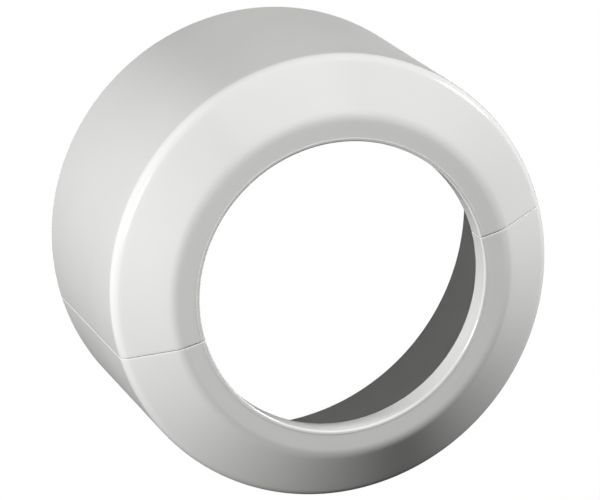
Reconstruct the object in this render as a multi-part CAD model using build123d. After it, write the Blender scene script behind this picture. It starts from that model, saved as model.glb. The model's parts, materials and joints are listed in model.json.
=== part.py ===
from build123d import *
from math import radians, tan
import os

# Split escutcheon for a toilet waste pipe: two moulded half shells that close round the pipe.
# The pipe runs along Y: the front face looks to -Y and the rear rim meets the wall at +Y.
# The halves part in the plane z = 0. Each is the other one turned half a turn about the pipe.
# The origin is on the pipe's axis, half way along the land that guides it. Sizes are in mm.

# Pipe and the land that guides it
pipe_diameter = 110.0
pipe_clearance = 0.2
land_length = 10.8
land_front_chamfer = 1.0
land_lead_in = 0.5

# Shell: flat face, cone, rounded edge and flaring skirt
face_width = 9.5
cone_width = 20.6
cone_angle = 29.2
depth = 102.4
skirt_draft = 2.46
wall = 1.9
face_bend_radius = 9.0
outer_edge_radius = 6.0

# Seam between the halves
seam_gap = 0.3
seam_chamfer = 0.25

# Tongue on one seam edge, and the pocket on the other that takes the mating tongue
tongue_reach = 10.0
tongue_root = 9.0
tongue_wall = 2.4
tongue_front_margin = 26.0
tongue_rear_margin = 20.0
tongue_corner_radius = 3.0
fit_clearance = 0.3
pocket_wall = 1.6

# Snap beads that click over each other, one on the tongue and one on the pocket's fin
bead_height = 0.25
bead_width = 1.2
tongue_bead_rise = 1.2
fin_bead_drop = 3.6

# Worked out from the sizes above
bore_radius = pipe_diameter / 2 + pipe_clearance
face_radius = bore_radius + face_width
corner_radius = face_radius + cone_width
corner_y = cone_width * tan(radians(cone_angle))
rear_radius = corner_radius + (depth - corner_y) * tan(radians(skirt_draft))
land_middle = (land_front_chamfer + land_length - land_lead_in) / 2
seam_half = seam_gap / 2
tongue_y = (tongue_front_margin, depth - tongue_rear_margin)
fin_offset = tongue_wall + 2 * bead_height + fit_clearance
pocket_depth = tongue_reach + fit_clearance


def parallel(start, end, set_in):
    """Two points of the line from start to end, moved to its left by set_in."""
    along = (end - start).normalized()
    across = Vector(-along.Y, along.X) * set_in
    return start + across, end + across


def crossing(first, second):
    """Point where two lines in the XY plane meet, each given by two points."""
    p, q = first[0], second[0]
    u, v = first[1] - first[0], second[1] - second[0]
    share = (q - p).cross(v).Z / u.cross(v).Z
    return p + u * share


def corner_at(sketch, point):
    """Corner of a sketch that lies nearest to a point."""
    return sketch.vertices().sort_by_distance(point)[0]


def outline(set_in):
    """Half outline of the closed form, from the axis out to the skirt, set in from the outside."""
    face_end = Vector(face_radius, 0)
    corner = Vector(corner_radius, corner_y)
    rear = Vector(rear_radius, depth)
    front_line = parallel(Vector(0, 0), face_end, set_in)
    cone_line = parallel(face_end, corner, set_in)
    skirt_line = parallel(corner, rear, set_in)
    rear_line = (Vector(0, depth), rear)
    bend = crossing(front_line, cone_line)
    edge = crossing(cone_line, skirt_line)
    rim = crossing(skirt_line, rear_line)
    face = Sketch() + make_face(Polyline((0, set_in), bend, edge, rim, (0, depth), close=True))
    return fillet(corner_at(face, edge), outer_edge_radius - set_in)


def skirt_inside(y):
    """Radius of the skirt's inner wall at a depth y behind the front face."""
    line = parallel(Vector(corner_radius, corner_y), Vector(rear_radius, depth), wall)
    return crossing(line, (Vector(0, y), Vector(1, y))).X


def strip(inner, outer, y_from, y_to):
    """Strip in the XY plane that follows the skirt's inner wall, between two offsets from it."""
    near, far = skirt_inside(y_from), skirt_inside(y_to)
    points = [(near + inner, y_from), (near + outer, y_from), (far + outer, y_to), (far + inner, y_to)]
    return make_face(Polyline(*points, close=True))


def upright(face, z_from, z_to):
    """Face in the XY plane drawn out along Z between two heights."""
    return Pos(0, 0, z_from) * extrude(face, amount=z_to - z_from, dir=(0, 0, 1))


def shell_section():
    """Section of the wall: land, flat face, cone, rounded edge and skirt. The bend is sharp on the inside."""
    outside = outline(0)
    outside = fillet(corner_at(outside, (face_radius, 0)), face_bend_radius)
    section = outside - outline(wall)
    land = Pos(bore_radius + wall / 2, land_length / 2) * Rectangle(wall, land_length)
    section = section + land
    section = section - Rectangle(bore_radius, depth, align=(Align.MIN, Align.MIN))
    section = chamfer(corner_at(section, (bore_radius, 0)), land_front_chamfer)
    return chamfer(corner_at(section, (bore_radius, land_length)), land_lead_in)


def seam_bevel():
    """Cutter that runs along the outside of the right-hand seam and breaks the edge above it."""
    path = FilletPolyline((bore_radius, 0), (face_radius, 0), (corner_radius, corner_y), (rear_radius, depth),
                          radius=[face_bend_radius, outer_edge_radius])
    size = seam_chamfer
    over = seam_half
    corners = [(size, 0), (0, size), (-over, size), (-over, -over), (size, -over)]
    start = Plane(origin=(bore_radius, 0, seam_half), x_dir=(0, 1, 0), z_dir=(1, 0, 0))
    return sweep(start * make_face(Polyline(*corners, close=True)), path=Pos(0, 0, seam_half) * path)


def half_shell():
    """Upper half of the shell, with its outer seam edges broken."""
    ring = revolve(shell_section(), Axis.Y)
    half = split(ring, bisect_by=Plane.XY.offset(seam_half), keep=Keep.TOP)
    bevel = seam_bevel()
    return half - bevel - mirror(bevel, about=Plane.YZ)


def bead(x_offset, z):
    """Rounded bead along the skirt, centred at an offset from its inner wall and at a height z."""
    y_from, y_to = tongue_y[0] + tongue_corner_radius, tongue_y[1] - tongue_corner_radius
    start = Vector(skirt_inside(y_from) + x_offset, y_from, z)
    end = Vector(skirt_inside(y_to) + x_offset, y_to, z)
    profile = Plane(origin=start, x_dir=(0, 0, 1), z_dir=end - start) * Ellipse(bead_width / 2, bead_height)
    return extrude(profile, amount=(end - start).length)


def tongue():
    """Tongue at the right-hand seam edge of the upper half, reaching down past the seam."""
    y_from, y_to = tongue_y
    root = upright(strip(-tongue_wall, wall / 2, y_from, y_to), seam_half, tongue_root)
    blade = upright(strip(-tongue_wall, 0, y_from, y_to), -tongue_reach, seam_half)
    side = RectangleRounded(y_to - y_from, 2 * tongue_reach, tongue_corner_radius)
    side_view = extrude(Plane.YZ * Pos((y_from + y_to) / 2, 0) * side, amount=rear_radius)
    blade = blade & side_view & revolve(outline(wall + fit_clearance), Axis.Y)
    return root + blade + bead(-tongue_wall, tongue_bead_rise - tongue_reach)


def pocket():
    """Pocket below the right-hand seam edge: a fin and a web that close in the mating tongue."""
    y_to = tongue_y[1]
    floor = -pocket_depth
    fin = upright(strip(-fin_offset - pocket_wall, -fin_offset, 0, y_to), floor - pocket_wall, -seam_half)
    web = upright(strip(-fin_offset - pocket_wall / 2, wall / 2, 0, y_to), floor - pocket_wall, floor)
    box = (fin + web) & revolve(outline(wall / 2), Axis.Y)
    return box + bead(-fin_offset, -fin_bead_drop)


def upper_half():
    """Half shell with its tongue on the right and its pocket on the left."""
    left_pocket = pocket().rotate(Axis.Y, 180)
    return half_shell() + tongue() + left_pocket


def write_node(name, solid):
    """Write one piece to its own file, with the origin moved to the middle of the land."""
    piece = Pos(0, -land_middle, 0) * solid
    piece.label = name
    export_step(piece, f"parts/{name}.step")


os.makedirs("parts", exist_ok=True)
upper = upper_half()
write_node("upper_half", upper)
write_node("lower_half", upper.rotate(Axis.Y, 180))
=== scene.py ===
import json
from collections import namedtuple
from math import atan2, ceil, cos, hypot, pi, radians, sin, sqrt, tan

import bmesh
import bpy
from bpy.props import FloatProperty, IntProperty, PointerProperty, StringProperty
from mathutils import Euler, Matrix, Vector


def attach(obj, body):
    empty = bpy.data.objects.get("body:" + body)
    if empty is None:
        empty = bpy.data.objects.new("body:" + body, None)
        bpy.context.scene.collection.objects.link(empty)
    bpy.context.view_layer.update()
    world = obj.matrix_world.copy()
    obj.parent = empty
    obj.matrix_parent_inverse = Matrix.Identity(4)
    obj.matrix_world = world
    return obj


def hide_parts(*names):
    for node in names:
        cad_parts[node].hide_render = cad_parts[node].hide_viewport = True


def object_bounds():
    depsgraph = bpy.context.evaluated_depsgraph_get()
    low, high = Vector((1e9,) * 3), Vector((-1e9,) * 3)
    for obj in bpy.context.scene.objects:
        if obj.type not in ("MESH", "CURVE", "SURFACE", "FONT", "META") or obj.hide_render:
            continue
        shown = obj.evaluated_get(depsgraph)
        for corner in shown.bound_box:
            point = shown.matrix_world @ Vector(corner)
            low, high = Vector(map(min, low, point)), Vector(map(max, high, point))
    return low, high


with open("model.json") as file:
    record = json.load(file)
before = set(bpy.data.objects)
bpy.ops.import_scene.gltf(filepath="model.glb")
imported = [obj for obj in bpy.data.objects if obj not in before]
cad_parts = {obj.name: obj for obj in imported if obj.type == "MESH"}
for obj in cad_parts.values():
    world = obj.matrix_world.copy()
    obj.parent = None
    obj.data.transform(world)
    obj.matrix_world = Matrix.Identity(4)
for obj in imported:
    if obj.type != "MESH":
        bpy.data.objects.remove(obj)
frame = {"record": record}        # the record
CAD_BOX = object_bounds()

# Split escutcheon for a toilet waste pipe: two like half shells of white plastic that snap together.
# The pipe runs along Y, the flat face looks to -Y and the rear rim meets the wall at +Y.
# The halves part in the plane z = 0. Each is the other one turned half a turn about the pipe.
bl_info = {
    "name": "Split pipe escutcheon",
    "version": (1, 0, 0),
    "blender": (4, 5, 0),
    "location": "3D View > Sidebar > Escutcheon",
    "description": "Builds the two moulded halves of a pipe escutcheon and a plain studio round them",
    "category": "Add Mesh",
}

PIPE_BORE = next(mount for mount in frame["record"]["mounts"] if mount["name"] == "pipe_bore")
MM = 0.001
IMAGE_WIDTH = 600


# Settings


def length(name, description, millimetres):
    """Property for a size, given in millimetres and kept in metres."""
    return FloatProperty(name=name, description=description, default=millimetres * MM, precision=5,
                         unit="LENGTH")


def angle(name, description, degrees):
    """Property for an angle, given in degrees and kept in radians."""
    return FloatProperty(name=name, description=description, default=radians(degrees), subtype="ANGLE")


def share(name, description, value):
    """Property for a share from 0 to 1."""
    return FloatProperty(name=name, description=description, default=value, min=0, max=1,
                         subtype="FACTOR")


def colour(name, description, hex_colour):
    """Property for a colour, kept as an sRGB hex value."""
    return StringProperty(name=name, description=description, default=hex_colour)


class ShellSizes(bpy.types.PropertyGroup):
    """Sizes of the turned shell: land, flat face, cone, rounded edge and skirt."""
    bore_radius: length("Bore radius", "Inner radius of the land that guides the pipe",
                        PIPE_BORE["dims"]["r_mm"])
    front: length("Front", "Place of the lip's top along the pipe", CAD_BOX[0].y / MM)
    rear: length("Rear", "Place of the rear rim along the pipe", CAD_BOX[1].y / MM)
    land_length: length("Land length", "Depth of the land from the front", 10.8)
    land_draft: angle("Land draft", "Flare of the bore towards the land's back edge", 2.9)
    land_front_round: length("Land front round", "Radius of the land's front edge", 0.8)
    land_back_round: length("Land back round", "Radius of the land's back edge on the bore", 0.5)
    lip_width: length("Lip width", "Width of the fine raised lip round the bore", 1.5)
    lip_height: length("Lip height", "How far the lip stands proud of the flat face", 0.09)
    lip_slope: length("Lip slope", "Width of the lip's sloping side", 0.25)
    lip_fall: length("Lip fall", "How far the lip falls back towards the bore", 0.12)
    face_width: length("Face width", "Width of the flat face round the bore", 9.5)
    cone_width: length("Cone width", "Width of the sloping front, across the pipe", 20.6)
    cone_angle: angle("Cone angle", "Slope of the front against the flat face", 29.2)
    skirt_draft: angle("Skirt draft", "Flare of the skirt against the pipe's axis", 2.46)
    wall: length("Wall", "Thickness of the moulding", 1.9)
    face_bend_radius: length("Face bend radius", "Round between flat face and cone", 9.0)
    outer_edge_radius: length("Outer edge radius", "Round between cone and skirt", 6.0)
    rim_round: length("Rim round", "Small round on the edges of rim and land", 0.4)
    seam_gap: length("Seam gap", "Gap between the closed halves", 0.3)
    seam_round: length("Seam round", "Round on the seam's edges", 0.22)
    steps: IntProperty(name="Steps", description="Faces round one half", default=180, min=12)
    round_loops: IntProperty(name="Round loops", description="Faces across a seam round", default=4, min=1)


class SnapSizes(bpy.types.PropertyGroup):
    """Sizes of the tongue on one seam edge and of the pocket on the other."""
    reach: length("Reach", "How far the tongue passes the seam", 10.0)
    root: length("Root", "How far the tongue runs back along its own wall", 9.0)
    thickness: length("Thickness", "Thickness of the tongue", 2.4)
    front_margin: length("Front margin", "From the front to the tongue", 26.0)
    rear_margin: length("Rear margin", "From the tongue to the rear rim", 20.0)
    corner_radius: length("Corner radius", "Round at the tongue's corners", 3.0)
    clearance: length("Clearance", "Gap between the tongue and what it meets", 0.3)
    pocket_wall: length("Pocket wall", "Thickness of the pocket's fin and web", 1.6)
    bead_height: length("Bead height", "How far a snap bead stands proud", 0.25)
    bead_width: length("Bead width", "Width of a snap bead", 1.2)
    bead_crest: length("Bead crest", "Radius of a snap bead's crest", 0.4)
    tongue_bead_rise: length("Tongue bead rise", "From the tongue's tip to its bead", 1.2)
    fin_bead_drop: length("Fin bead drop", "From the seam to the fin's bead", 3.6)
    fin_set_back: length("Fin set-back", "From the seam's face down to the fin's top", 0.05)
    edge_round: length("Edge round", "Small round on the edges of tongue and pocket", 0.2)


class PlasticFinish(bpy.types.PropertyGroup):
    """Colours of the moulded plastic, the skirt's greyer as painted shade, and the roughness of its surfaces.
    """
    white: colour("White", "Colour of the plastic", "#EDEDEB")
    shaded_white: colour("Shaded white", "Greyer patches of the plastic", "#E7E7E5")
    # The skirt's two colours are greyer than the front's: painted shade, as the skirt gets less light.
    skirt_white_with_painted_shade: colour("Skirt white with painted shade", "Colour of the drawn skirt", "#E3E3E1")
    skirt_patches_with_painted_shade: colour("Skirt patches with painted shade", "Greyer patches of the drawn skirt", "#DEDEDC")
    polish: share("Polish", "Roughness of the polished front", 0.12)
    satin: share("Satin", "Roughness of the skirt, drawn along the mould", 0.3)
    matt: share("Matt", "Roughness of the unpolished inside and seam", 0.62)


class StudioSettings(bpy.types.PropertyGroup):
    """Place of the camera, and place and tone of the floor and the surroundings."""
    azimuth: angle("Azimuth", "Camera's place to the left of the pipe's axis", 12.757)
    elevation: angle("Elevation", "Camera's height above the horizon", 19.262)
    roll: angle("Roll", "Camera's clockwise tilt", 15.892)
    distance: length("Distance", "From the camera to the point that it looks at", 814.8)
    aim_x: length("Aim X", "Point that the camera looks at", -9.431)
    aim_y: length("Aim Y", "Point that the camera looks at", 7.711)
    aim_z: length("Aim Z", "Point that the camera looks at", 15.557)
    focal_pixels: FloatProperty(name="Focal length", description="In pixels of the picture",
                                default=2200.0, subtype="PIXEL")
    floor_drop: length("Floor drop", "From the pipe's axis down to the floor", 350.0)
    floor_size: length("Floor size", "Width of the floor", 24000.0)
    floor_white: colour("Floor white", "Colour of the floor to the camera", "#F4F4F4")
    floor_shade: colour("Floor shade", "Colour of the floor that lights the object", "#343434")
    floor_roughness: share("Floor roughness", "Roughness of the floor's paint", 0.9)
    shadow_glow: share("Shadow glow", "Glow of the floor right below the object", 0.3)
    white_reach: length("White reach", "From the object's middle to where the floor is plain white", 600.0)
    even_light: share("Even light", "Strength of the surroundings as light on the object", 0.06)
    gloss_share: share("Gloss share", "How much of the white surroundings gloss shows", 0.05)


Softbox = namedtuple("Softbox", "name azimuth elevation roll distance width height watts")

# Places are seen from the object: azimuth to the right of its front, elevation above the horizon and
# the turn of the lamp about its own axis, in degrees. Distances and sizes are in metres. The two strips
# draw narrow streaks on the rounded edge, and the two large boxes fill in.
SOFTBOXES = (
    Softbox("left_strip", -66, 30, -18, 1.3, 0.18, 0.36, 17.5),
    Softbox("right_strip", 83, 15, 23, 1.3, 0.18, 0.28, 19.0),
    Softbox("rear_softbox", -120, 5, 0, 1.3, 0.9, 0.9, 1.2),
    Softbox("front_softbox", 15, 35, 0, 1.3, 0.9, 0.9, 1.7),
)


# Helpers


def linear(hex_colour):
    """Linear colour with alpha from an sRGB hex value, by the sRGB standard's curve."""
    parts = [int(hex_colour[place:place + 2], 16) / 255 for place in (1, 3, 5)]
    return [part / 12.92 if part <= 0.04045 else ((part + 0.055) / 1.055) ** 2.4 for part in parts] + [1.0]


def add_node(tree, kind, inputs=(), **settings):
    """Add a node with its settings, and set or link its inputs, by name or by place."""
    node = tree.nodes.new(kind)
    for name, value in settings.items():
        setattr(node, name, value)
    for key, value in dict(inputs).items():
        if isinstance(value, bpy.types.NodeSocket):
            tree.links.new(value, node.inputs[key])
        else:
            node.inputs[key].default_value = value
    return node


def new_object(name, data):
    """Object at the origin, linked to the scene."""
    made = bpy.data.objects.new(name, data)
    bpy.context.scene.collection.objects.link(made)
    return made


# Material

# White ABS, moulded. The front comes from polished steel and shows the lamps as narrow streaks. The skirt is
# drawn along the steel when the part leaves the mould, which gives it a softer sheen, and its colour is
# painted greyer than the front's as painted shade. The inside and the seam come from steel as it was cut and
# look matt.
Surface = namedtuple("Surface", "name swing grain_mm relief_mm")

# Swing of the roughness from patch to patch, and width and height of the steel's grain. The real grain is a
# few hundredths of a millimetre wide, so it is drawn coarser to show.
POLISHED_SURFACE = Surface("ABS_polished", 0.03, 0.9, 0.004)
SATIN_SURFACE = Surface("ABS_satin", 0.04, 0.7, 0.01)
MATT_SURFACE = Surface("ABS_matt", 0.05, 0.6, 0.02)
ABS_IOR = 1.54
PIGMENT_CLOUD_MM = 30.0
GLOSS_PATCH_MM = 9.0


def moulded_abs(surface, white, shaded_white, roughness):
    """White ABS whose sheen comes from the grain of the mould, with faint clouds in the pigment."""
    material = bpy.data.materials.new(surface.name)
    material.use_nodes = True
    tree = material.node_tree
    shader = tree.nodes["Principled BSDF"]
    shader.inputs["IOR"].default_value = ABS_IOR
    place = add_node(tree, "ShaderNodeTexCoord").outputs["Object"]
    clouds = add_node(tree, "ShaderNodeTexNoise", {"Vector": place, "Scale": 1 / (PIGMENT_CLOUD_MM * MM)})
    pigment = add_node(tree, "ShaderNodeMix", {"Factor": clouds.outputs["Fac"], "A": linear(white),
                                               "B": linear(shaded_white)}, data_type="RGBA")
    patches = add_node(tree, "ShaderNodeTexNoise", {"Vector": place, "Scale": 1 / (GLOSS_PATCH_MM * MM)})
    gloss = add_node(tree, "ShaderNodeMapRange", {"Value": patches.outputs["Fac"],
                                                  "To Min": roughness - surface.swing,
                                                  "To Max": roughness + surface.swing})
    grain = add_node(tree, "ShaderNodeTexNoise", {"Vector": place, "Scale": 1 / (surface.grain_mm * MM)})
    bump = add_node(tree, "ShaderNodeBump", {"Height": grain.outputs["Fac"],
                                             "Distance": surface.relief_mm * MM})
    tree.links.new(pigment.outputs["Result"], shader.inputs["Base Color"])
    tree.links.new(gloss.outputs["Result"], shader.inputs["Roughness"])
    tree.links.new(bump.outputs["Normal"], shader.inputs["Normal"])
    return material


# Section of the shell

POLISHED, SATIN, MATT = range(3)
SHELL_ARC_STEP = radians(4)
SHELL_RUN_STEP = 3 * MM

# The mark is the finish of the shell there, or tells a snap bead.
OutlinePoint = namedtuple("OutlinePoint", "place outward mark")


def set_in(corner, first_outward, second_outward, depth):
    """Corner of two faces after both have moved in by a depth."""
    return corner - (first_outward + second_outward) * depth / (1 + first_outward.dot(second_outward))


class Section:
    """Corners of the shell's section, with x across the pipe and y along it."""

    def __init__(self, shell):
        self.shell = shell
        self.flare = tan(shell.skirt_draft)
        flat_outward = Vector((0, -1))
        self.cone_outward = Vector((sin(shell.cone_angle), -cos(shell.cone_angle)))
        self.skirt_outward = Vector((cos(shell.skirt_draft), -sin(shell.skirt_draft)))
        self.bend = Vector((shell.bore_radius + shell.face_width, shell.front))
        self.edge = self.bend + Vector((shell.cone_width, shell.cone_width * tan(shell.cone_angle)))
        self.rear = Vector((self.edge.x + (shell.rear - self.edge.y) * self.flare, shell.rear))
        self.bend_inside = set_in(self.bend, flat_outward, self.cone_outward, shell.wall)
        self.face_y = shell.front + shell.lip_height
        self.face_bend = self.bend + Vector((shell.lip_height / tan(shell.cone_angle), shell.lip_height))

    def edge_at(self, depth):
        """Corner between cone and skirt, set in from the outside by a depth."""
        return set_in(self.edge, self.cone_outward, self.skirt_outward, depth)

    def skirt_at(self, y, depth):
        """Radius of the skirt at a place along the pipe, set in from the outside by a depth."""
        corner = self.edge_at(depth)
        return corner.x + (y - corner.y) * self.flare

    def front_at(self, radius, depth):
        """Place along the pipe of the cone or the rounded edge at a radius, set in by a depth."""
        shell = self.shell
        centre = self.edge_at(shell.outer_edge_radius)
        reach = shell.outer_edge_radius - depth
        if radius > centre.x + reach * self.cone_outward.x:
            return centre.y - sqrt(reach ** 2 - (radius - centre.x) ** 2)
        return self.bend.y + (radius - self.bend.x) * tan(shell.cone_angle) + depth / cos(shell.cone_angle)

    def corners(self):
        """Corner, radius and the finish that starts there, counter-clockwise from the land's front edge."""
        shell = self.shell
        land_outside = shell.bore_radius + shell.wall
        land_back = shell.front + shell.land_length
        back_radius = shell.bore_radius + shell.land_length * tan(shell.land_draft)
        lip_side = shell.bore_radius + shell.lip_width
        edge_turn = pi / 2 - shell.skirt_draft - shell.cone_angle
        skirt_y = self.edge.y + shell.outer_edge_radius * tan(edge_turn / 2) + shell.rim_round
        return [
            (Vector((shell.bore_radius, shell.front + shell.lip_fall)), shell.land_front_round, POLISHED),
            (Vector((lip_side - shell.lip_slope, shell.front)), shell.lip_slope, POLISHED),
            (Vector((lip_side, self.face_y)), shell.lip_slope, POLISHED),
            (self.face_bend, shell.face_bend_radius, POLISHED),
            (self.edge, shell.outer_edge_radius, POLISHED),
            # From here to the rear rim the skirt takes the greyer colours, which are painted shade
            (Vector((self.skirt_at(skirt_y, 0), skirt_y)), 0, SATIN),
            (self.rear, shell.rim_round, SATIN),
            (Vector((self.skirt_at(shell.rear, shell.wall), shell.rear)), shell.rim_round, MATT),
            (self.edge_at(shell.wall), shell.outer_edge_radius - shell.wall, MATT),
            (self.bend_inside, shell.face_bend_radius - shell.wall, MATT),
            (Vector((land_outside, shell.front + shell.wall)), shell.rim_round, MATT),
            (Vector((land_outside, land_back)), shell.rim_round, MATT),
            (Vector((back_radius, land_back)), shell.land_back_round, POLISHED),
        ]


def rounded(corners, arc_step, run_step):
    """Points of a closed outline, each corner with its radius and mark, and its straight runs divided."""
    arcs = []
    for place, (corner, radius, mark) in enumerate(corners):
        before = (corner - corners[place - 1][0]).normalized()
        after = (corners[(place + 1) % len(corners)][0] - corner).normalized()
        turn = atan2(before.x * after.y - before.y * after.x, before.dot(after))
        side = radius if turn > 0 else -radius
        outward = Vector((before.y, -before.x))
        centre = corner - before * radius * tan(abs(turn) / 2) - outward * side
        count = ceil(abs(turn) / arc_step) if radius else 0
        # A corner without a radius is one point, half way through its turn
        shares = [step / count for step in range(count + 1)] if count else [1 / 2]
        for part in shares:
            normal = Matrix.Rotation(turn * part, 2) @ outward
            arcs.append(OutlinePoint(centre + normal * side, normal, mark))
    points = []
    for place, point in enumerate(arcs):
        points.append(point)
        after = arcs[(place + 1) % len(arcs)]
        run = after.place - point.place
        count = ceil(run.length / run_step)
        for step in range(1, count):
            points.append(OutlinePoint(point.place + run * step / count, point.outward, point.mark))
    return points


def section_object(section):
    """Wire object of the section, whose points carry the way into the wall and the finish."""
    points = rounded(section.corners(), SHELL_ARC_STEP, SHELL_RUN_STEP)
    mesh = bpy.data.meshes.new("shell_section")
    ring = [(place, (place + 1) % len(points)) for place in range(len(points))]
    mesh.from_pydata([(*point.place, 0) for point in points], ring, [])
    mesh.attributes.new("inward", "FLOAT_VECTOR", "POINT")
    mesh.attributes.new("finish", "FLOAT", "POINT")
    for place, point in enumerate(points):
        mesh.attributes["inward"].data[place].vector = (*-point.outward, 0)
        mesh.attributes["finish"].data[place].value = point.mark
    return new_object("shell_section", mesh)


# Tongue and pocket, drawn out along the skirt at the right-hand seam

SNAP_ARC_STEP = radians(20)
SNAP_RUN_STEP = 5 * MM
END_STEPS = 3
TONGUE_BACK_STEPS = 6
# Rings along a tongue's rounded corner, as shares of its radius
CORNER_SHARES = (0.15, 0.35, 0.65, 1.0)

# A ring without a place along the pipe lies in the wall of the front.
Ring = namedtuple("Ring", "y inset squeeze beaded")


def drawn_out(form, section, outline, rings, bead_face):
    """Add a bar that follows the skirt's inner wall. Its outline has x from that wall, y up from the seam."""
    loops = []
    for ring in rings:
        loop = []
        for point in outline:
            base = point.place if ring.beaded or not point.mark else Vector((bead_face, point.place.y))
            across, up = base - point.outward * ring.inset
            up *= ring.squeeze if up < 0 else 1
            y = ring.y
            if y is None:
                reach = hypot(section.skirt_at(section.edge.y, section.shell.wall) + across, up)
                y = section.front_at(reach, section.shell.wall / 2)
            loop.append(form.verts.new((section.skirt_at(y, section.shell.wall) + across, y, up)))
        loops.append(loop)
    for first, second in zip(loops, loops[1:]):
        for place in range(len(outline)):
            form.faces.new((first[place - 1], first[place], second[place], second[place - 1]))
    form.faces.new(loops[0])
    form.faces.new(reversed(loops[-1]))


def end_rings(y_end, into, size, squeeze=1.0):
    """Rings that round off the end of a bar, from its outside in to where it is full."""
    rings = []
    for step in range(END_STEPS + 1):
        swing = pi / 2 * step / END_STEPS
        rings.append(Ring(y_end + into * size * (1 - cos(swing)), size * (1 - sin(swing)), squeeze, False))
    return rings


def bead_corners(snap, face, middle, way):
    """Low rounded bead on an upright face, as corners of an outline that runs up it (1) or down it (-1)."""
    half = way * snap.bead_width / 2
    crest = Vector((face + way * snap.bead_height, middle))
    return [
        (Vector((face, middle - half)), 0, False),
        (crest, snap.bead_crest, True),
        (Vector((face, middle + half)), 0, False),
    ]


def on_circle(radius, set_out, z):
    """Distance across from the wall's middle line of a circle about the pipe's axis, at a height."""
    return sqrt((radius + set_out) ** 2 - z ** 2) - radius


def add_tongue(form, section, snap):
    """Tongue of the upper half: it grows from the wall above the seam and reaches down past it."""
    shell = section.shell
    fine = snap.edge_round
    y_from = shell.front + snap.front_margin
    y_to = shell.rear - snap.rear_margin
    radius = section.skirt_at((y_from + y_to) / 2, shell.wall)
    top = shell.seam_gap / 2 + snap.clearance
    rise = top + snap.reach
    heights = [-snap.reach + rise * step / TONGUE_BACK_STEPS for step in range(TONGUE_BACK_STEPS + 1)]
    back = [Vector((on_circle(radius, -snap.clearance, z), z)) for z in heights]
    in_wall = on_circle(radius, shell.wall / 2, snap.root)
    bead_z = snap.tongue_bead_rise - snap.reach
    outline = rounded([
        (Vector((-snap.thickness, -snap.reach)), fine, False),
        (back[0], fine, False),
        *((point, 0, False) for point in back[1:]),
        (Vector((in_wall, top + snap.clearance)), 0, False),
        (Vector((in_wall, snap.root)), 0, False),
        (Vector((-snap.thickness, snap.root)), fine, False),
        *bead_corners(snap, -snap.thickness, bead_z, -1),
    ], SNAP_ARC_STEP, SNAP_RUN_STEP)

    def squeeze(inset):
        """Share of the reach that is left by the rounded corner, at a distance from the tongue's end."""
        corner = snap.corner_radius
        return 1 - (corner - sqrt(corner ** 2 - (corner - inset) ** 2)) / snap.reach

    steps = [snap.corner_radius * part for part in CORNER_SHARES]
    ends = []
    for y_end, into in ((y_from, 1), (y_to, -1)):
        rings = end_rings(y_end, into, fine, squeeze(0))
        rings += [Ring(y_end + into * step, 0, squeeze(step), False) for step in steps]
        rings.append(Ring(y_end + into * (steps[-1] + fine), 0, 1, True))
        ends.append(rings)
    drawn_out(form, section, outline, ends[0] + ends[1][::-1], -snap.thickness)


def add_pocket(form, section, snap):
    """Pocket below the seam: a fin and a web that close in the mating tongue."""
    shell = section.shell
    fine = snap.edge_round
    y_to = shell.rear - snap.rear_margin
    radius = section.skirt_at((section.edge.y + y_to) / 2, shell.wall)
    fin_out = -snap.thickness - 2 * snap.bead_height - snap.clearance
    fin_in = fin_out - snap.pocket_wall
    top = -shell.seam_gap / 2 - snap.fin_set_back
    floor = -snap.reach - snap.clearance
    base = floor - snap.pocket_wall
    outline = rounded([
        (Vector((fin_in, base)), fine, False),
        (Vector((on_circle(radius, shell.wall / 2, base), base)), 0, False),
        (Vector((on_circle(radius, shell.wall / 2, floor), floor)), 0, False),
        (Vector((fin_out, floor)), fine, False),
        *bead_corners(snap, fin_out, -snap.fin_bead_drop, 1),
        (Vector((fin_out, top)), fine, False),
        (Vector((fin_in, top)), fine, False),
    ], SNAP_ARC_STEP, SNAP_RUN_STEP)
    bead_from = shell.front + snap.front_margin + snap.corner_radius
    bead_to = y_to - snap.corner_radius
    rings = [
        Ring(None, 0, 1, False),
        Ring(bead_from, 0, 1, False),
        Ring(bead_from + fine, 0, 1, True),
        Ring(bead_to - fine, 0, 1, True),
        Ring(bead_to, 0, 1, False),
        *end_rings(y_to, -1, fine)[::-1],
    ]
    drawn_out(form, section, outline, rings, fin_out)


def snap_object(section, snap):
    """Tongue at the right and pocket at the left of the upper half, as one object of closed forms."""
    form = bmesh.new()
    add_pocket(form, section, snap)
    bmesh.ops.rotate(form, verts=form.verts, cent=(0, 0, 0), matrix=Matrix.Rotation(pi, 3, "Y"))
    add_tongue(form, section, snap)
    bmesh.ops.recalc_face_normals(form, faces=form.faces)
    mesh = bpy.data.meshes.new("snap_forms")
    form.to_mesh(mesh)
    form.free()
    finish = mesh.attributes.new("finish", "FLOAT", "POINT")
    for value in finish.data:
        value.value = MATT
    return new_object("snap_forms", mesh)


# Half shell, turned from its section

# Half a step along the spine tells one ring of points from the next
HALF_STEP = 0.5
# A face takes a finish when the mean mark of its corners is less than this far below the finish's own
FINISH_MARGIN = 0.4
SHARP_ANGLE = radians(38)


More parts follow.
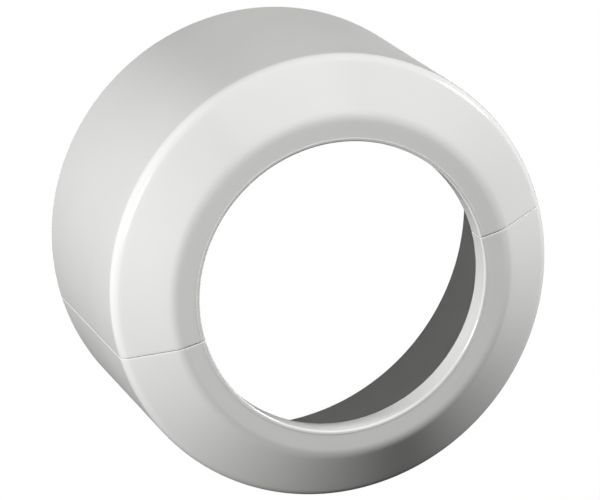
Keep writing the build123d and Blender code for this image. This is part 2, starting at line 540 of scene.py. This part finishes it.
def half_shell_tree():
    """Geometry nodes that turn the section half a circle, round the seam's edges and fuse the snap forms."""
    tree = bpy.data.node_groups.new("turned_half_shell", "GeometryNodeTree")
    tree.interface.new_socket("Geometry", in_out="OUTPUT", socket_type="NodeSocketGeometry")
    for name, kind in (("Section", "Object"), ("Snap Forms", "Object"), ("Steps", "Int"),
                       ("Round Loops", "Int"), ("Seam Gap", "Float"), ("Seam Round", "Float"),
                       ("Polished", "Material"), ("Satin", "Material"), ("Matt", "Material")):
        tree.interface.new_socket(name, in_out="INPUT", socket_type=f"NodeSocket{kind}")
    given = add_node(tree, "NodeGroupInput").outputs

    def maths(operation, *values, clamp=False):
        """Result of one sum on the values."""
        return add_node(tree, "ShaderNodeMath", enumerate(values), operation=operation,
                        use_clamp=clamp).outputs[0]

    # Sweep of the section along a straight spine, one unit for each step
    section = add_node(tree, "GeometryNodeObjectInfo", {"Object": given["Section"]})
    profile = add_node(tree, "GeometryNodeMeshToCurve", {"Mesh": section.outputs["Geometry"]})
    both_rounds = maths("MULTIPLY", given["Round Loops"], 2.0)
    last = maths("ADD", given["Steps"], both_rounds)
    line = add_node(tree, "GeometryNodeMeshLine", {"Count": maths("ADD", last, 1.0), "Offset": (0, 0, 1)})
    spine = add_node(tree, "GeometryNodeMeshToCurve", {"Mesh": line.outputs["Mesh"]})
    sweep = add_node(tree, "GeometryNodeCurveToMesh", {"Curve": spine.outputs["Curve"],
                                                       "Profile Curve": profile.outputs["Curve"],
                                                       "Fill Caps": True})

    # Round at both seams: points near an end move into the wall
    position = add_node(tree, "GeometryNodeInputPosition").outputs["Position"]
    step = add_node(tree, "ShaderNodeSeparateXYZ", {"Vector": position}).outputs["Z"]
    from_end = maths("MINIMUM", step, maths("SUBTRACT", last, step))
    swing = maths("MULTIPLY", maths("DIVIDE", from_end, given["Round Loops"], clamp=True), pi / 2)
    depth = maths("MULTIPLY", given["Seam Round"], maths("SUBTRACT", 1.0, maths("SINE", swing)))
    rise = maths("MULTIPLY", given["Seam Round"], maths("SUBTRACT", 1.0, maths("COSINE", swing)))
    height = maths("MULTIPLY_ADD", given["Seam Gap"], 0.5, rise)
    inward = add_node(tree, "GeometryNodeInputNamedAttribute", {"Name": "inward"}, data_type="FLOAT_VECTOR")
    move = add_node(tree, "ShaderNodeVectorMath", {0: inward.outputs["Attribute"], "Scale": depth},
                    operation="SCALE")
    moved = add_node(tree, "ShaderNodeVectorMath", {0: position, 1: move.outputs[0]}, operation="ADD")
    flat = add_node(tree, "ShaderNodeSeparateXYZ", {"Vector": moved.outputs[0]}).outputs

    # Turn about the pipe's axis, which stops short of the seam plane at both ends
    least = maths("ARCSINE", maths("DIVIDE", height, flat["X"]))
    turn = maths("DIVIDE", maths("SUBTRACT", step, given["Round Loops"]), given["Steps"], clamp=True)
    turn = maths("MULTIPLY", turn, pi)
    turn = maths("MAXIMUM", turn, least)
    turn = maths("MINIMUM", turn, maths("SUBTRACT", pi, least))
    bent = add_node(tree, "ShaderNodeCombineXYZ", {"X": maths("MULTIPLY", flat["X"], maths("COSINE", turn)),
                                                   "Y": flat["Y"],
                                                   "Z": maths("MULTIPLY", flat["X"], maths("SINE", turn))})

    # The cut faces of the seam and their rounds stay unpolished
    carried = add_node(tree, "GeometryNodeInputNamedAttribute", {"Name": "finish"}, data_type="FLOAT")
    finish = carried.outputs["Attribute"]
    on_round = maths("LESS_THAN", from_end, maths("SUBTRACT", given["Round Loops"], HALF_STEP))
    duller = maths("MAXIMUM", finish, maths("MULTIPLY", on_round, MATT))
    marked = add_node(tree, "GeometryNodeStoreNamedAttribute", {"Geometry": sweep.outputs["Mesh"],
                                                                "Name": "finish", "Value": duller},
                      data_type="FLOAT", domain="POINT")
    shell = add_node(tree, "GeometryNodeSetPosition", {"Geometry": marked.outputs["Geometry"],
                                                       "Position": bent.outputs["Vector"]})

    # Snap forms fused on, and the finishes told apart
    snap = add_node(tree, "GeometryNodeObjectInfo", {"Object": given["Snap Forms"]})
    fused = add_node(tree, "GeometryNodeMeshBoolean", solver="MANIFOLD", operation="UNION")
    for geometry in (shell.outputs["Geometry"], snap.outputs["Geometry"]):
        tree.links.new(geometry, fused.inputs["Mesh 2"])
    smooth = add_node(tree, "GeometryNodeSetShadeSmooth", {"Geometry": fused.outputs["Mesh"]})
    whole = add_node(tree, "GeometryNodeRealizeInstances", {"Geometry": smooth.outputs["Geometry"]})
    covered = whole.outputs["Geometry"]
    for name, mark in (("Polished", POLISHED), ("Satin", SATIN), ("Matt", MATT)):
        chosen = maths("GREATER_THAN", finish, mark - FINISH_MARGIN)
        covered = add_node(tree, "GeometryNodeSetMaterial", {"Geometry": covered, "Selection": chosen,
                                                             "Material": given[name]}).outputs["Geometry"]
    add_node(tree, "NodeGroupOutput", {"Geometry": covered})
    return tree


def tree_mesh(tree, values):
    """Plain mesh that a node tree gives for the values of its inputs."""
    carrier = new_object("carrier", bpy.data.meshes.new("carrier"))
    modifier = carrier.modifiers.new("nodes", "NODES")
    modifier.node_group = tree
    for item in tree.interface.items_tree:
        if item.in_out == "INPUT":
            modifier[item.identifier] = values[item.name]
    evaluated = carrier.evaluated_get(bpy.context.evaluated_depsgraph_get())
    mesh = bpy.data.meshes.new_from_object(evaluated)
    bpy.data.objects.remove(carrier)
    return mesh


class ESCUTCHEON_OT_halves(bpy.types.Operator):
    """Build the two moulded halves, each with its tongue and its pocket"""
    bl_idname = "escutcheon.halves"
    bl_label = "Moulded halves"

    def execute(self, context):
        shell = context.scene.escutcheon_shell
        finish = context.scene.escutcheon_finish
        section = Section(shell)
        drawing = section_object(section)
        snap_forms = snap_object(section, context.scene.escutcheon_snap)
        values = {
            "Section": drawing,
            "Snap Forms": snap_forms,
            "Steps": shell.steps,
            "Round Loops": shell.round_loops,
            "Seam Gap": shell.seam_gap,
            "Seam Round": shell.seam_round,
            "Polished": moulded_abs(POLISHED_SURFACE, finish.white, finish.shaded_white, finish.polish),
            # The skirt's greyer colours are painted shade
            "Satin": moulded_abs(SATIN_SURFACE, finish.skirt_white_with_painted_shade, finish.skirt_patches_with_painted_shade, finish.satin),
            "Matt": moulded_abs(MATT_SURFACE, finish.white, finish.shaded_white, finish.matt),
        }
        upper = tree_mesh(half_shell_tree(), values)
        if not upper.polygons:
            raise RuntimeError("the half shell came out empty")
        upper.set_sharp_from_angle(angle=SHARP_ANGLE)
        lower = upper.copy()
        lower.transform(Matrix.Rotation(pi, 4, "Y"))
        for name, mesh in (("upper_half", upper), ("lower_half", lower)):
            mesh.name = f"{name}_moulding"
            piece = new_object(f"{name}_moulding", mesh)
            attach(piece, name)
            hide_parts(name)
        for helper in (drawing, snap_forms):
            bpy.data.objects.remove(helper)
        return {"FINISHED"}


# Studio


def seen_directly(tree, gloss_share):
    """Share that is 1 for what the camera sees, also through clear things, and lower for what gloss shows."""
    path = add_node(tree, "ShaderNodeLightPath").outputs
    gloss = add_node(tree, "ShaderNodeMath", {0: path["Is Glossy Ray"], 1: gloss_share}, operation="MULTIPLY")
    first = add_node(tree, "ShaderNodeMath", {0: path["Is Camera Ray"], 1: gloss.outputs[0]},
                     operation="MAXIMUM")
    return add_node(tree, "ShaderNodeMath", {0: first.outputs[0], 1: path["Is Transmission Ray"]},
                    operation="MAXIMUM").outputs[0]


def floor_material(studio):
    """Painted floor, white to the camera, with a shadow below the object and little light thrown up."""
    material = bpy.data.materials.new("painted_floor")
    material.use_nodes = True
    tree = material.node_tree
    paint = tree.nodes["Principled BSDF"]
    paint.inputs["Roughness"].default_value = studio.floor_roughness
    seen = seen_directly(tree, studio.gloss_share)
    pigment = add_node(tree, "ShaderNodeMix", {"Factor": seen, "A": linear(studio.floor_shade),
                                               "B": linear(studio.floor_white)}, data_type="RGBA")
    tree.links.new(pigment.outputs["Result"], paint.inputs["Base Color"])
    place = add_node(tree, "ShaderNodeTexCoord").outputs["Object"]
    reach = add_node(tree, "ShaderNodeVectorMath", {0: place}, operation="LENGTH").outputs["Value"]
    white = add_node(tree, "ShaderNodeMapRange", {"Value": reach, "From Min": studio.floor_drop,
                                                  "From Max": studio.white_reach,
                                                  "To Min": studio.shadow_glow, "To Max": 1.0})
    glow_share = add_node(tree, "ShaderNodeMath", {0: white.outputs["Result"], 1: seen}, operation="MULTIPLY")
    glow = add_node(tree, "ShaderNodeEmission")
    mixed = add_node(tree, "ShaderNodeMixShader", {0: glow_share.outputs[0], 1: paint.outputs["BSDF"],
                                                   2: glow.outputs["Emission"]})
    tree.links.new(mixed.outputs["Shader"], tree.nodes["Material Output"].inputs["Surface"])
    return material


def add_floor(studio):
    """Wide flat floor below the object, which its pipe holds up."""
    half = studio.floor_size / 2
    height = -studio.floor_drop
    corners = [(-half, -half, height), (half, -half, height), (half, half, height), (-half, half, height)]
    mesh = bpy.data.meshes.new("studio_floor")
    mesh.from_pydata(corners, [], [(0, 1, 2, 3)])
    mesh.materials.append(floor_material(studio))
    new_object("studio_floor", mesh)


def add_world(studio):
    """White surroundings for what is seen directly, with a weak even light on the object."""
    world = bpy.data.worlds.new("studio_world")
    world.use_nodes = True
    tree = world.node_tree
    background = tree.nodes["Background"]
    background.inputs["Color"].default_value = linear("#FFFFFF")
    seen = seen_directly(tree, studio.gloss_share)
    strength = add_node(tree, "ShaderNodeMapRange", {"Value": seen, "To Min": studio.even_light,
                                                     "To Max": 1.0})
    tree.links.new(strength.outputs["Result"], background.inputs["Strength"])
    bpy.context.scene.world = world


def add_softboxes():
    """Rectangular lamps that face the object."""
    for box in SOFTBOXES:
        lamp = bpy.data.lights.new(box.name, "AREA")
        lamp.shape = "RECTANGLE"
        lamp.size = box.width
        lamp.size_y = box.height
        lamp.energy = box.watts
        holder = new_object(box.name, lamp)
        facing = Euler((pi / 2 - radians(box.elevation), 0, radians(box.azimuth))).to_matrix()
        facing = facing @ Matrix.Rotation(radians(box.roll), 3, "Z")
        holder.matrix_world = Matrix.Translation(facing @ Vector((0, 0, box.distance))) @ facing.to_4x4()


def add_camera(studio):
    """Camera at the place and tilt of the photograph's."""
    data = bpy.data.cameras.new("camera")
    data.lens = studio.focal_pixels * data.sensor_width / IMAGE_WIDTH
    camera = new_object("camera", data)
    facing = Euler((pi / 2 - studio.elevation, 0, -studio.azimuth)).to_matrix()
    facing = facing @ Matrix.Rotation(-studio.roll, 3, "Z")
    aim = Vector((studio.aim_x, studio.aim_y, studio.aim_z))
    camera.matrix_world = Matrix.Translation(aim + facing @ Vector((0, 0, studio.distance))) @ facing.to_4x4()
    bpy.context.scene.camera = camera


class ESCUTCHEON_OT_studio(bpy.types.Operator):
    """Set up the floor, the soft light and the camera"""
    bl_idname = "escutcheon.studio"
    bl_label = "Studio"

    def execute(self, context):
        studio = context.scene.escutcheon_studio
        add_floor(studio)
        add_world(studio)
        add_softboxes()
        add_camera(studio)
        context.scene.view_settings.view_transform = "Standard"
        return {"FINISHED"}


# Add-on

SETTINGS = {
    "escutcheon_shell": ShellSizes,
    "escutcheon_snap": SnapSizes,
    "escutcheon_finish": PlasticFinish,
    "escutcheon_studio": StudioSettings,
}


class VIEW3D_PT_escutcheon(bpy.types.Panel):
    """Sizes, finish and studio of the escutcheon"""
    bl_label = "Split pipe escutcheon"
    bl_space_type = "VIEW_3D"
    bl_region_type = "UI"
    bl_category = "Escutcheon"

    def draw(self, context):
        for name, group in SETTINGS.items():
            box = self.layout.box()
            for size in group.__annotations__:
                box.prop(getattr(context.scene, name), size)
        for operator in (ESCUTCHEON_OT_halves, ESCUTCHEON_OT_studio):
            self.layout.operator(operator.bl_idname)


CLASSES = (*SETTINGS.values(), ESCUTCHEON_OT_halves, ESCUTCHEON_OT_studio, VIEW3D_PT_escutcheon)


def register():
    for item in CLASSES:
        bpy.utils.register_class(item)
    for name, group in SETTINGS.items():
        setattr(bpy.types.Scene, name, PointerProperty(type=group))


def unregister():
    for name in SETTINGS:
        delattr(bpy.types.Scene, name)
    for item in reversed(CLASSES):
        bpy.utils.unregister_class(item)


def main():
    """Build the object and its studio."""
    register()
    bpy.ops.escutcheon.halves()
    bpy.ops.escutcheon.studio()


if __name__ == "__main__":
    main()
